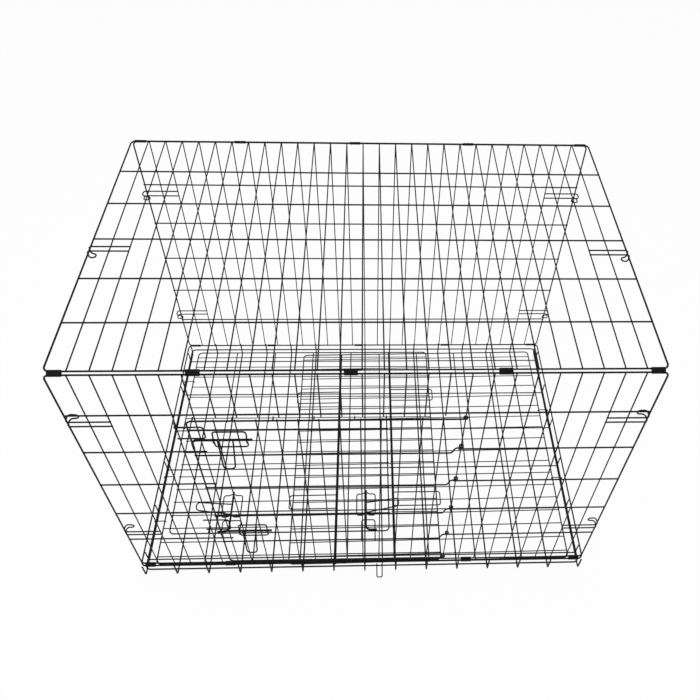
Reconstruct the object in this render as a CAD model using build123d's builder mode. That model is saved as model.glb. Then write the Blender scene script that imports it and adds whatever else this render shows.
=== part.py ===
from build123d import *
from math import cos, radians, sin
import os

os.makedirs("parts", exist_ok=True)

# A folding dog crate of black coated steel wire, with a door in the front and one in an end.
# X runs along the crate, Y from front to back and Z up, from the middle of its footprint.
# Both end panels lie folded on the floor, the left one over the right one.
# Wires that meet within one piece stop a seam apart, so each stays a plain straight bar.

# Wire radii, measured to the flats of each bar
upright_r = 1.2
row_r = 1.5
frame_r = 1.6
base_r = 1.75
lock_r = 1.4
hook_r = 1.3
rod_r = 2.5
handle_r = 1.5
seam = 0.05
corner_factor = 1.0824

# The grid of the long walls
pitch = 38.1
columns = 28
half_width = pitch * columns / 2
wall_y = 352.0
wall_bottom = 46.0
wall_top = 754.0
row_count = 6
row_step = (wall_top - wall_bottom) / row_count

# Heights of the layers of a panel, outwards from the middle of its frame wires
upright_level = upright_r - frame_r
row_level = -frame_r - row_r
lock_level = -frame_r - lock_r

# The base tray
tray_margin = 4.0
rim_y = wall_y + tray_margin
rim_z = wall_bottom - tray_margin
lower_z = 22.0
upturn_top = 43.0
cross_pitch = 129.0
cross_count = 6
upturn_y = rim_y + 2 * base_r
cross_z = 2 * base_r + row_r
hinge_x = half_width - row_r - base_r
rim_x = half_width + row_r + base_r

# The top panel
top_z = wall_top + 4.0
top_half = wall_y - 5.0
top_row_step = top_half / 3

# The end panels, measured from the wire that they hinge on
end_columns = 18
end_half = pitch * end_columns / 2
end_bottom = 22.0
end_top = 719.0
end_row_step = (end_top - end_bottom) / row_count
end_tilt = 1.0
tab_near = 153.0
tab_far = 193.0
tab_reach = 9.0
hook_play = 0.25
left_hooks = (-228.6, -59.9, 98.0, 228.6)
right_hooks = (-114.3, 114.3)

# The hairpin locks at the corners of the front, back and top
lock_gauge = 13.5
lock_depth = 18.0
lock_return = 20.0
lock_overrun = 6.0
lock_root = half_width - 2 * pitch
lock_high = 610.0
lock_low = 193.0
top_lock_left = -30.0
top_lock_right = -37.5

# The sleeves that clip the panels together
sleeve_long = 24.0
sleeve_wall = 1.0
sleeve_play = 0.1
bottom_front_sleeves = (-514.35, -323.85, -57.15, 247.65, 514.35)
bottom_back_sleeves = (-514.35, -285.75, -19.05, 247.65, 514.35)
top_sleeves = (-514.35, -285.75, -19.05, 247.65, 514.35)

# The openings of the two doors, in columns of their panels
front_latch_column = 6
front_hinge_column = 19
end_latch_column = 15
end_hinge_column = 6

# The doors, which lie on the outer faces of their panels
door_gap = 1.4
door_overlap = 17.0
door_shift = 4.0
door_top_gap = 11.0
front_door_lift = 12.0
end_door_lift = 18.0
knuckle_rise = 14.0
knuckle_bore = 1.6
knuckle_thick = 3.0
frame_lap = 2.5
door_level = frame_r + door_gap
door_upright_level = door_level + frame_r - upright_r
door_row_level = door_level + frame_r + row_r
door_face = door_level + frame_r

# The slide bolts, measured from the latch side of a door
rod_play = 0.15
rod_tail = 115.0
rod_tip = 2.0
tip_drop = 28.0
bracket_near = 43.0
bracket_far = 105.0
bracket_half = 24.0
hump_half = 8.0
hump_play = 0.35
handle_near = 50.3
handle_far = 78.5
handle_long = 88.0
handle_play = 0.06
hang_lean = 12.0
flip_lean = 18.0
rod_level = door_face + rod_play + rod_r
bracket_level = door_face + lock_r
hump_level = rod_level + rod_r + hump_play + lock_r
front_bolt_high = 571.0
front_bolt_low = 216.0
end_bolt_high = 533.0
end_bolt_low = 188.0

# The keepers beside the doors, as (lowest leg, highest leg, root, closed end)
front_keeper_high = (562.0, 598.0, -349.0, -296.0)
front_keeper_low = (206.0, 248.0, -355.0, -300.0)
end_keeper_high = (522.0, 556.0, 287.0, 230.0)
end_keeper_low = (168.0, 214.0, 266.0, 227.0)

# The loose loop on the front of the tray
loop_near = 29.5
loop_far = 42.4
loop_out = 22.0
loop_drop = 18.0
loop_play = 0.1
loop_wall = 1.3

# Working planes, each with x along the panel, y up it and z outwards
front = Plane(origin=(0, -wall_y, 0), x_dir=(1, 0, 0), z_dir=(0, -1, 0))
back = Plane(origin=(0, wall_y, 0), x_dir=(-1, 0, 0), z_dir=(0, 1, 0))
top = Plane(origin=(0, 0, top_z), x_dir=(1, 0, 0), z_dir=(0, 0, 1))
left_end = Plane(origin=(-hinge_x, 0, lower_z), x_dir=(0, -1, 0), z_dir=(0, 0, 1))
tilt = radians(end_tilt)
right_end = Plane(origin=(hinge_x, 0, lower_z), x_dir=(0, 1, 0), z_dir=(-sin(tilt), 0, cos(tilt)))


def column(number):
    """Where a column of the long walls stands."""
    return number * pitch - half_width


def end_column(number):
    """Where an upright of the end panels stands."""
    return (number + 0.5) * pitch - end_half


def outline(radius, sides):
    """The section of a wire, with its flats towards the faces of the panel."""
    turn = 180 / sides if sides % 4 == 0 else 0
    RegularPolygon(radius, sides, major_radius=False, rotation=turn)


def wire(panel, start, end, radius, sides=8):
    """One straight wire between two points of a panel."""
    foot = panel.from_local_coords(Vector(start))
    run = panel.from_local_coords(Vector(end)) - foot
    side = panel.z_dir.cross(run)
    if side.length < radius:
        side = panel.x_dir
    with BuildSketch(Plane(origin=foot, x_dir=side, z_dir=run)) as section:
        outline(radius, sides)
    extrude(section.sketch, amount=run.length)


def uprights(panel, places, start, end, level, radius, sides=6):
    """Parallel wires that run up a panel."""
    foot = panel.from_local_coords(Vector(0, start, level))
    with BuildSketch(Plane(origin=foot, x_dir=-panel.x_dir, z_dir=panel.y_dir)) as section:
        with Locations(*[(-place, 0) for place in places]):
            outline(radius, sides)
    extrude(section.sketch, amount=end - start)


def rows(panel, places, start, end, level, radius, sides=8):
    """Parallel wires that run across a panel."""
    foot = panel.from_local_coords(Vector(start, 0, level))
    with BuildSketch(Plane(origin=foot, x_dir=panel.y_dir, z_dir=panel.x_dir)) as section:
        with Locations(*[(place, 0) for place in places]):
            outline(radius, sides)
    extrude(section.sketch, amount=end - start)


def bend(panel, points, radius, closed=False):
    """A wire bent through square corners, in straight runs that butt one another."""
    last = len(points) - 2
    for number in range(last + 1):
        start = Vector(points[number])
        end = Vector(points[number + 1])
        ahead = (end - start).normalized()
        if closed or number > 0:
            start = start + ahead * (radius + seam)
        if closed or number < last:
            end = end + ahead * radius
        wire(panel, start, end, radius)


def frame(panel, half, low, high):
    """The four wires round a panel."""
    rows(panel, (low, high), -half - frame_r, half + frame_r, 0, frame_r)
    uprights(panel, (-half, half), low + frame_r + seam, high - frame_r - seam, 0, frame_r, 8)


def eye(plane, bore, outer, thick):
    """A wire eye round an axis that is the plane's normal."""
    with BuildSketch(plane.offset(-thick / 2)) as ring:
        outline(outer, 8)
        RegularPolygon(bore, 8, major_radius=False, rotation=22.5, mode=Mode.SUBTRACT)
    extrude(ring.sketch, amount=thick)


def sleeve(middle, first, second, wire_r):
    """A crimped sleeve round two wires that run along the crate, given as (y, z)."""
    bore = wire_r * corner_factor + sleeve_play
    with BuildSketch(Plane.YZ, mode=Mode.PRIVATE) as hole:
        with Locations(first, second):
            outline(bore, 8)
        make_hull()
    with BuildSketch(Plane.YZ.offset(middle - sleeve_long / 2)) as section:
        with Locations(first, second):
            outline(bore + sleeve_wall, 8)
        make_hull()
        add(hole.sketch_local, mode=Mode.SUBTRACT)
    extrude(section.sketch, amount=sleeve_long)


def lock(panel, side, height):
    """A hairpin lock, whose return catches the side wire of an end panel from inside."""
    low = height - lock_gauge / 2
    high = height + lock_gauge / 2
    root = side * lock_root
    tip = side * (half_width + lock_overrun)
    mouth = side * (half_width + lock_overrun - lock_return)
    deep = lock_level - lock_depth
    bend(
        panel,
        [
            (root, low, lock_level),
            (tip, low, lock_level),
            (tip, low, deep),
            (mouth, low, deep),
            (mouth, high, deep),
            (tip, high, deep),
            (tip, high, lock_level),
            (root, high, lock_level),
        ],
        lock_r,
    )


def keeper(panel, legs):
    """A flat U that a bolt shoots behind, on the inner face of a panel."""
    low, high, root, end = legs
    bend(
        panel,
        [(root, low, lock_level), (end, low, lock_level), (end, high, lock_level), (root, high, lock_level)],
        lock_r,
    )


def hooks(panel, places):
    """Square hooks that hang an end panel on its hinge wire."""
    reach = base_r + hook_play + hook_r
    root = end_bottom + frame_r + hook_r
    for place in places:
        bend(
            panel,
            [
                (place, root, -frame_r),
                (place, root, reach),
                (place, -reach, reach),
                (place, -reach, -reach),
                (place, hook_r, -reach),
            ],
            hook_r,
        )


def tabs(panel):
    """The two finger loops at the top of an end panel."""
    foot = end_top - end_row_step
    tip = end_top + tab_reach
    outer = -lock_level
    for side in (-1, 1):
        near = side * tab_near
        far = side * tab_far
        bend(
            panel,
            [(near, foot, outer), (near, tip, outer), (far, tip, outer), (far, foot, outer)],
            lock_r,
        )


def door_rows(panel, edge, hinge, inward, heights):
    """The rows of a door, each stepped up to an eye round the hinge upright."""
    jog = hinge - inward * knuckle_rise
    outer = door_row_level - row_r - upright_level
    for height in heights:
        lifted = height + knuckle_rise
        bend(
            panel,
            [
                (edge - inward * frame_r, height, door_row_level),
                (jog, height, door_row_level),
                (jog, lifted, door_row_level),
                (hinge + inward * row_r, lifted, door_row_level),
            ],
            row_r,
        )
        knuckle(panel, hinge, lifted, outer)


def knuckle(panel, hinge, height, outer):
    """An eye of a door round the upright that it swings on."""
    centre = panel.from_local_coords(Vector(hinge, height, upright_level))
    eye(Plane(origin=centre, x_dir=panel.x_dir, z_dir=panel.y_dir), knuckle_bore, outer, knuckle_thick)


def door_frame(panel, edge, hinge, inward, low, high):
    """A door's latch side, and its lowest and highest wires with their eyes."""
    uprights(panel, (edge,), low - frame_r, high + frame_r, door_level, frame_r, 8)
    start = edge + inward * (frame_r + seam)
    end = hinge - inward * frame_lap
    outer = door_row_level - row_r - upright_level
    for height in (low, high):
        wire(panel, (start, height, door_level), (end, height, door_level), frame_r)
        knuckle(panel, hinge, height, outer)


def bracket(panel, edge, inward, height):
    """A wire loop on a door, with a hump at each end for the rod to run under."""
    near = edge + inward * bracket_near
    far = edge + inward * bracket_far
    corners = []
    for place, turn in ((near, 1), (far, -1)):
        corners += [
            (place, height - turn * bracket_half, bracket_level),
            (place, height - turn * hump_half, bracket_level),
            (place, height - turn * hump_half, hump_level),
            (place, height + turn * hump_half, hump_level),
            (place, height + turn * hump_half, bracket_level),
            (place, height + turn * bracket_half, bracket_level),
        ]
    bend(panel, corners + corners[:1], lock_r, closed=True)


def bolt(panel, edge, inward, height, down):
    """A round rod that slides under its bracket, with its tip bent down."""
    tip = edge + inward * rod_tip
    bend(
        panel,
        [
            (edge + inward * rod_tail, height, rod_level),
            (tip, height, rod_level),
            (tip, height + down * tip_drop, rod_level),
        ],
        rod_r,
    )


def handle(panel, edge, inward, height, down, lean):
    """The U handle that hangs from a bolt's rod."""
    near = edge + inward * handle_near
    far = edge + inward * handle_far
    root = rod_r * corner_factor + handle_play
    axis = panel.from_local_coords(Vector(0, height, rod_level))
    leg = panel.y_dir * (down * cos(radians(lean))) + panel.z_dir * sin(radians(lean))
    hung = Plane(origin=axis, x_dir=panel.x_dir, z_dir=panel.x_dir.cross(leg))
    bend(hung, [(near, root, 0), (near, handle_long, 0), (far, handle_long, 0), (far, root, 0)], handle_r)


# Base tray
cross_places = [(number - (cross_count - 1) / 2) * cross_pitch for number in range(cross_count)]
floor_places = [column(2 * number) for number in range(columns // 2 + 1)]

with BuildPart() as base_floor_long:
    uprights(top.offset(base_r - top_z), floor_places, -upturn_y - base_r, upturn_y + base_r, 0, base_r)
    rise = 2 * base_r + seam
    for wall, turned in ((front, 1), (back, -1)):
        level = upturn_y - wall_y
        uprights(wall, floor_places, rise, upturn_top, level, base_r)
base_floor_long.part.label = "base_floor_long"
export_step(base_floor_long.part, "parts/base_floor_long.step")

with BuildPart() as base_floor_cross:
    rows(top.offset(cross_z - top_z), cross_places, -half_width - row_r, half_width + row_r, 0, row_r, 6)
    for side in (-1, 1):
        upturn_plane = Plane(origin=(side * half_width, 0, 0), x_dir=(0, side, 0), z_dir=(side, 0, 0))
        uprights(upturn_plane, cross_places, cross_z + row_r + seam, upturn_top, 0, row_r)
base_floor_cross.part.label = "base_floor_cross"
export_step(base_floor_cross.part, "parts/base_floor_cross.step")

with BuildPart() as base_rim:
    rows(top.offset(rim_z - top_z), (-rim_y, rim_y), -rim_x - base_r, rim_x + base_r, 0, base_r)
    inside = rim_y - base_r - seam
    uprights(top.offset(rim_z - top_z), (-rim_x, rim_x), -inside, inside, 0, base_r, 8)
base_rim.part.label = "base_rim"
export_step(base_rim.part, "parts/base_rim.step")

with BuildPart() as base_lower_wires:
    rows(top.offset(lower_z - top_z), (-rim_y, rim_y), -hinge_x - base_r, hinge_x + base_r, 0, base_r)
    uprights(top.offset(lower_z - top_z), (-hinge_x, hinge_x), -inside, inside, 0, base_r, 8)
base_lower_wires.part.label = "base_lower_wires"
export_step(base_lower_wires.part, "parts/base_lower_wires.step")

with BuildPart() as clips_front_bottom:
    for middle in bottom_front_sleeves:
        sleeve(middle, (-wall_y, wall_bottom), (-rim_y, rim_z), base_r)
clips_front_bottom.part.label = "clips_front_bottom"
export_step(clips_front_bottom.part, "parts/clips_front_bottom.step")

with BuildPart() as clips_back_bottom:
    for middle in bottom_back_sleeves:
        sleeve(middle, (wall_y, wall_bottom), (rim_y, rim_z), base_r)
clips_back_bottom.part.label = "clips_back_bottom"
export_step(clips_back_bottom.part, "parts/clips_back_bottom.step")

# Front panel
wall_rows = [wall_bottom + number * row_step for number in range(1, row_count)]
door_row = wall_rows[-1]
front_latch_x = column(front_latch_column)
front_hinge_x = column(front_hinge_column)
front_open = [column(number) for number in range(front_latch_column + 1, front_hinge_column)]
front_closed = [column(number) for number in range(1, columns) if column(number) not in front_open]

with BuildPart() as front_frame:
    frame(front, half_width, wall_bottom, wall_top)
front_frame.part.label = "front_frame"
export_step(front_frame.part, "parts/front_frame.step")

with BuildPart() as front_uprights:
    highest = wall_top - frame_r
    uprights(front, front_closed, wall_bottom + frame_r, highest, upright_level, upright_r)
    uprights(front, front_open, door_row - row_r, highest, upright_level, upright_r)
front_uprights.part.label = "front_uprights"
export_step(front_uprights.part, "parts/front_uprights.step")

with BuildPart() as front_rows:
    edge = half_width + frame_r
    rows(front, (door_row,), -edge, edge, row_level, row_r)
    rows(front, wall_rows[:-1], -edge, front_latch_x + row_r, row_level, row_r)
    rows(front, wall_rows[:-1], front_hinge_x - row_r, edge, row_level, row_r)
front_rows.part.label = "front_rows"
export_step(front_rows.part, "parts/front_rows.step")

with BuildPart() as front_keepers:
    keeper(front, front_keeper_high)
    keeper(front, front_keeper_low)
front_keepers.part.label = "front_keepers"
export_step(front_keepers.part, "parts/front_keepers.step")

with BuildPart() as front_locks:
    for side in (-1, 1):
        lock(front, side, lock_high)
        lock(front, side, lock_low)
front_locks.part.label = "front_locks"
export_step(front_locks.part, "parts/front_locks.step")

# Top panel
with BuildPart() as top_frame:
    frame(top, half_width, -top_half, top_half)
top_frame.part.label = "top_frame"
export_step(top_frame.part, "parts/top_frame.step")

with BuildPart() as top_wires:
    span = top_half - frame_r
    uprights(top, [column(number) for number in range(1, columns)], -span, span, upright_level, upright_r)
top_wires.part.label = "top_wires"
export_step(top_wires.part, "parts/top_wires.step")

with BuildPart() as top_rows:
    places = [number * top_row_step for number in range(-2, 3)]
    rows(top, places, -half_width - frame_r, half_width + frame_r, row_level, row_r)
top_rows.part.label = "top_rows"
export_step(top_rows.part, "parts/top_rows.step")

with BuildPart() as top_locks:
    lock(top, -1, top_lock_left)
    lock(top, 1, top_lock_right)
top_locks.part.label = "top_locks"
export_step(top_locks.part, "parts/top_locks.step")

with BuildPart() as clips_front_top:
    for middle in top_sleeves:
        sleeve(middle, (-wall_y, wall_top), (-top_half, top_z), frame_r)
clips_front_top.part.label = "clips_front_top"
export_step(clips_front_top.part, "parts/clips_front_top.step")

with BuildPart() as clips_back_top:
    for middle in top_sleeves:
        sleeve(middle, (wall_y, wall_top), (top_half, top_z), frame_r)
clips_back_top.part.label = "clips_back_top"
export_step(clips_back_top.part, "parts/clips_back_top.step")

# Back panel
with BuildPart() as back_frame:
    frame(back, half_width, wall_bottom, wall_top)
back_frame.part.label = "back_frame"
export_step(back_frame.part, "parts/back_frame.step")

with BuildPart() as back_uprights:
    places = [column(number) for number in range(1, columns)]
    uprights(back, places, wall_bottom + frame_r, wall_top - frame_r, upright_level, upright_r)
back_uprights.part.label = "back_uprights"
export_step(back_uprights.part, "parts/back_uprights.step")

with BuildPart() as back_rows:
    rows(back, wall_rows, -half_width - frame_r, half_width + frame_r, row_level, row_r)
back_rows.part.label = "back_rows"
export_step(back_rows.part, "parts/back_rows.step")

with BuildPart() as back_locks:
    for side in (-1, 1):
        lock(back, side, lock_high)
        lock(back, side, lock_low)
back_locks.part.label = "back_locks"
export_step(back_locks.part, "parts/back_locks.step")

# Left end panel, with the opening of its door
end_rows = [end_bottom + number * end_row_step for number in range(1, row_count)]
end_door_row = end_rows[-1]
end_edge = end_half + frame_r
end_latch_u = end_column(end_latch_column)
end_hinge_u = end_column(end_hinge_column)
end_places = [end_column(number) for number in range(end_columns)]
end_open = [end_column(number) for number in range(end_hinge_column + 1, end_latch_column)]
end_closed = [place for place in end_places if place not in end_open]
end_floor = end_bottom + frame_r
end_ceiling = end_top - frame_r

with BuildPart() as left_end_frame:
    frame(left_end, end_half, end_bottom, end_top)
left_end_frame.part.label = "left_end_frame"
export_step(left_end_frame.part, "parts/left_end_frame.step")

with BuildPart() as left_end_uprights:
    uprights(left_end, end_closed, end_floor, end_ceiling, upright_level, upright_r)
    uprights(left_end, end_open, end_door_row - row_r, end_ceiling, upright_level, upright_r)
left_end_uprights.part.label = "left_end_uprights"
export_step(left_end_uprights.part, "parts/left_end_uprights.step")

with BuildPart() as left_end_rows:
    rows(left_end, (end_door_row,), -end_edge, end_edge, row_level, row_r)
    rows(left_end, end_rows[:-1], -end_edge, end_hinge_u + row_r, row_level, row_r)
    rows(left_end, end_rows[:-1], end_latch_u - row_r, end_edge, row_level, row_r)
left_end_rows.part.label = "left_end_rows"
export_step(left_end_rows.part, "parts/left_end_rows.step")

with BuildPart() as left_end_tabs:
    tabs(left_end)
left_end_tabs.part.label = "left_end_tabs"
export_step(left_end_tabs.part, "parts/left_end_tabs.step")

with BuildPart() as left_end_hooks:
    hooks(left_end, left_hooks)
left_end_hooks.part.label = "left_end_hooks"
export_step(left_end_hooks.part, "parts/left_end_hooks.step")

with BuildPart() as left_end_keepers:
    keeper(left_end, end_keeper_high)
    keeper(left_end, end_keeper_low)
left_end_keepers.part.label = "left_end_keepers"
export_step(left_end_keepers.part, "parts/left_end_keepers.step")

# Right end panel
with BuildPart() as right_end_frame:
    frame(right_end, end_half, end_bottom, end_top)
right_end_frame.part.label = "right_end_frame"
export_step(right_end_frame.part, "parts/right_end_frame.step")

with BuildPart() as right_end_uprights:
    uprights(right_end, end_places, end_floor, end_ceiling, upright_level, upright_r)
right_end_uprights.part.label = "right_end_uprights"
export_step(right_end_uprights.part, "parts/right_end_uprights.step")

with BuildPart() as right_end_rows:
    rows(right_end, end_rows, -end_edge, end_edge, row_level, row_r)
right_end_rows.part.label = "right_end_rows"
export_step(right_end_rows.part, "parts/right_end_rows.step")

with BuildPart() as right_end_tabs:
    tabs(right_end)
right_end_tabs.part.label = "right_end_tabs"
export_step(right_end_tabs.part, "parts/right_end_tabs.step")

with BuildPart() as right_end_hooks:
    hooks(right_end, right_hooks)
right_end_hooks.part.label = "right_end_hooks"
export_step(right_end_hooks.part, "parts/right_end_hooks.step")

# Front door, hinged on an upright of the front panel
front_edge = front_latch_x - door_overlap
front_low = wall_bottom + front_door_lift
front_high = door_row - door_top_gap

with BuildPart() as front_door_frame:
    door_frame(front, front_edge, front_hinge_x, 1, front_low, front_high)
front_door_frame.part.label = "front_door_frame"
export_step(front_door_frame.part, "parts/front_door_frame.step")

with BuildPart() as front_door_uprights:
    places = [place - door_shift for place in front_open]
    uprights(front, places, front_low + frame_r, front_high - frame_r, door_upright_level, upright_r)
front_door_uprights.part.label = "front_door_uprights"
export_step(front_door_uprights.part, "parts/front_door_uprights.step")

with BuildPart() as front_door_rows:
    door_rows(front, front_edge, front_hinge_x, 1, wall_rows[:-1])
front_door_rows.part.label = "front_door_rows"
export_step(front_door_rows.part, "parts/front_door_rows.step")

with BuildPart() as front_door_brackets:
    bracket(front, front_edge, 1, front_bolt_high)
    bracket(front, front_edge, 1, front_bolt_low)
front_door_brackets.part.label = "front_door_brackets"
export_step(front_door_brackets.part, "parts/front_door_brackets.step")

# End door, hinged on an upright of the left end panel
end_door_edge = end_latch_u + door_overlap
end_low = end_bottom + end_door_lift
end_high = end_door_row - door_top_gap

with BuildPart() as end_door_frame:
    door_frame(left_end, end_door_edge, end_hinge_u, -1, end_low, end_high)
end_door_frame.part.label = "end_door_frame"
export_step(end_door_frame.part, "parts/end_door_frame.step")

with BuildPart() as end_door_uprights:
    places = [place + door_shift for place in end_open]
    uprights(left_end, places, end_low + frame_r, end_high - frame_r, door_upright_level, upright_r)
end_door_uprights.part.label = "end_door_uprights"
export_step(end_door_uprights.part, "parts/end_door_uprights.step")

with BuildPart() as end_door_rows:
    door_rows(left_end, end_door_edge, end_hinge_u, -1, end_rows[:-1])
end_door_rows.part.label = "end_door_rows"
export_step(end_door_rows.part, "parts/end_door_rows.step")

with BuildPart() as end_door_brackets:
    bracket(left_end, end_door_edge, -1, end_bolt_high)
    bracket(left_end, end_door_edge, -1, end_bolt_low)
end_door_brackets.part.label = "end_door_brackets"
export_step(end_door_brackets.part, "parts/end_door_brackets.step")

# Slide bolts and their handles
latches = {
    "front_high": (front, front_edge, 1, front_bolt_high, -1, hang_lean),
    "front_low": (front, front_edge, 1, front_bolt_low, -1, hang_lean),
    "end_high": (left_end, end_door_edge, -1, end_bolt_high, 1, flip_lean),
    "end_low": (left_end, end_door_edge, -1, end_bolt_low, -1, hang_lean),
}
for name, (panel, edge, inward, height, down, lean) in latches.items():
    with BuildPart() as latch_bolt:
        bolt(panel, edge, inward, height, down)
    latch_bolt.part.label = "bolt_" + name
    export_step(latch_bolt.part, "parts/bolt_" + name + ".step")

    with BuildPart() as latch_handle:
        handle(panel, edge, inward, height, down, lean)
    latch_handle.part.label = "handle_" + name
    export_step(latch_handle.part, "parts/handle_" + name + ".step")

# Loose loop on the lower front wire of the tray
loop_axis = Vector(0, -rim_y, lower_z)
loop_leg = Vector(0, -loop_out, -loop_drop)
hanging = Plane(origin=loop_axis, x_dir=(1, 0, 0), z_dir=Vector(1, 0, 0).cross(loop_leg))

with BuildPart() as carry_loop:
    bore = base_r * corner_factor + loop_play
    for place in (loop_near, loop_far):
        centre = loop_axis + Vector(place, 0, 0)
        eye(Plane(origin=centre, x_dir=(0, 1, 0), z_dir=(1, 0, 0)), bore, bore + loop_wall, 2 * hook_r)
    head = bore + seam
    foot = loop_leg.length
    corners = [(loop_near, head, 0), (loop_near, foot, 0), (loop_far, foot, 0), (loop_far, head, 0)]
    bend(hanging, corners, hook_r)
carry_loop.part.label = "carry_loop"
export_step(carry_loop.part, "parts/carry_loop.step")
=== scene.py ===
from math import cos, pi, radians, sin

import bmesh
import bpy
from mathutils import Matrix, Vector


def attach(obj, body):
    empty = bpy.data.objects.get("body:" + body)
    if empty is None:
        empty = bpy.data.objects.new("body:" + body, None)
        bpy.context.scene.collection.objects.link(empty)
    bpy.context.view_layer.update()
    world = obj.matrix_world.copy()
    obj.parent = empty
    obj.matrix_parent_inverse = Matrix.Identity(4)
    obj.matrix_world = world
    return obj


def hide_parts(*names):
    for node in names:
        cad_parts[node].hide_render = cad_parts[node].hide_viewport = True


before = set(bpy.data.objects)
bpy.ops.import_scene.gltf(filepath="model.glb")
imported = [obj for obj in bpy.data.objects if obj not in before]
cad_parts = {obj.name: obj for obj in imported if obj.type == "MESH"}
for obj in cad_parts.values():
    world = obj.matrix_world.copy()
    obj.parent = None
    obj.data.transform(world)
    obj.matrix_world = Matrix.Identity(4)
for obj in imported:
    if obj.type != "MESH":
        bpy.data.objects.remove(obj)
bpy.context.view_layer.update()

# The wires of a folding dog crate, in millimetres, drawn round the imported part.
MM = 0.001

# Wire radii
UPRIGHT_R = 1.2
ROW_R = 1.5
FRAME_R = 1.6
BASE_R = 1.75
LOCK_R = 1.4
HOOK_R = 1.3
ROD_R = 2.5
HANDLE_R = 1.5

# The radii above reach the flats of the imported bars; the round wire reaches their corners.
# Rods and hooks have little room round them and are drawn at their true radius.
ROUND = 1.08
TRUE_SIZE = 1.0

# The grid of the long walls
PITCH = 38.1
COLUMNS = 28
HALF_WIDTH = PITCH * COLUMNS / 2
WALL_Y = 352.0
WALL_BOTTOM = 46.0
WALL_TOP = 754.0
ROW_COUNT = 6
ROW_STEP = (WALL_TOP - WALL_BOTTOM) / ROW_COUNT

# Heights of the layers of a panel, outwards from the middle of its frame wires
UPRIGHT_LEVEL = UPRIGHT_R - FRAME_R
ROW_LEVEL = -FRAME_R - ROW_R
LOCK_LEVEL = -FRAME_R - LOCK_R

# Beads of weld, halfway between the middles of crossing wires
WELD_R = 1.5
FLOOR_WELD_R = 1.9
WELD_LEVEL = (ROW_LEVEL + UPRIGHT_LEVEL) / 2

# How far wires run past the edge of a doorway
DOORWAY_OVERLAP = 4.0

# The base tray
RIM_Y = 356.0
RIM_Z = 42.0
LOWER_Z = 22.0
UPTURN_TOP = 43.0
UPTURN_Y = RIM_Y + 2 * BASE_R
LONG_COUNT = COLUMNS // 2 + 1
CROSS_PITCH = 129.0
CROSS_COUNT = 6
CROSS_Z = 2 * BASE_R + ROW_R
HINGE_X = HALF_WIDTH - ROW_R - BASE_R
RIM_X = HALF_WIDTH + ROW_R + BASE_R

# The top panel
TOP_Z = 758.0
TOP_HALF = 347.0
TOP_ROW_STEP = TOP_HALF / 3
TOP_ROWS = [number * TOP_ROW_STEP for number in range(-2, 3)]

# The end panels, measured from the wire that they hinge on
END_COLUMNS = 18
END_HALF = PITCH * END_COLUMNS / 2
END_BOTTOM = 22.0
END_TOP = 719.0
END_ROW_STEP = (END_TOP - END_BOTTOM) / ROW_COUNT
END_TILT = radians(1.0)
TAB_NEAR = 153.0
TAB_FAR = 193.0
TAB_REACH = 9.0
HOOK_PLAY = 0.25
LEFT_HOOKS = (-228.6, -59.9, 98.0, 228.6)
RIGHT_HOOKS = (-114.3, 114.3)

# The hairpin locks
LOCK_GAUGE = 13.5
LOCK_DEPTH = 18.0
LOCK_RETURN = 17.0
TOP_LOCK_RETURN = 11.0
LOCK_PINCH = 2.0
LOCK_OVERRUN = 6.0
LOCK_ROOT = HALF_WIDTH - 2 * PITCH
LOCK_HEIGHTS = (193.0, 610.0)
TOP_LOCKS = ((-1, -30.0), (1, -37.5))

# The crimped sleeves
SLEEVE_LONG = 24.0
SLEEVE_WALL = 1.0
SLEEVE_PLAY = 0.1
SLEEVE_LIP = 0.35
SLEEVE_LIP_WALL = 0.75
CRIMP_START = 0.62
CRIMP_END = 0.5
CRIMP_DEEP = 0.07
CRIMP_SHALLOW = 0.02
BOTTOM_FRONT_SLEEVES = (-514.35, -323.85, -57.15, 247.65, 514.35)
OTHER_SLEEVES = (-514.35, -285.75, -19.05, 247.65, 514.35)

# The doors, which lie on the outer faces of their panels
DOOR_GAP = 1.4
DOOR_LEVEL = FRAME_R + DOOR_GAP
DOOR_UPRIGHT_LEVEL = DOOR_LEVEL + FRAME_R - UPRIGHT_R
DOOR_ROW_LEVEL = DOOR_LEVEL + FRAME_R + ROW_R
DOOR_WELD_LEVEL = (DOOR_ROW_LEVEL + DOOR_UPRIGHT_LEVEL) / 2
DOOR_FACE = DOOR_LEVEL + FRAME_R
DOOR_OVERLAP = 17.0
DOOR_SHIFT = 4.0
DOOR_TOP_GAP = 11.0
FRONT_DOOR_LIFT = 12.0
END_DOOR_LIFT = 18.0
UPRIGHT_STUB = 4.0
KNUCKLE_R = DOOR_LEVEL - UPRIGHT_LEVEL
KNUCKLE_SWEEP = -1.75 * pi
KNUCKLE_RISE = 14.0
JOG_FOOT = 4.0
JOG_HEAD = 2.0
JOG_DROP = 1.5

# The slide bolts, measured from the latch side of a door
FRONT_BOLTS = (571.0, 216.0)
END_BOLTS = (533.0, 188.0)
ROD_TAIL = 115.0
ROD_TIP = 2.0
TIP_DROP = 28.0
ROD_GAP = 0.15
ROD_LEVEL = DOOR_FACE + ROD_GAP + ROD_R
BRACKET_NEAR = 43.0
BRACKET_FAR = 105.0
BRACKET_HALF = 24.0
HUMP_FOOT = 9.0
HUMP_HEAD = 4.5
BRACKET_LEVEL = DOOR_FACE + LOCK_R
HUMP_GAP = 0.35
HUMP_LEVEL = ROD_LEVEL + ROD_R + HUMP_GAP + LOCK_R
HANDLE_NEAR = 50.3
HANDLE_FAR = 78.5
END_HANDLE = 88.0
FRONT_HANDLE = 76.0
HANDLE_PINCH = 3.0
HANDLE_NECK = 9.0
HANDLE_PLAY = 0.1
HANDLE_CURL_START = radians(28.0)
HANDLE_CURL_SWEEP = -radians(24.0)
HANG_LEAN = radians(12.0)
FLIP_LEAN = radians(18.0)

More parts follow.
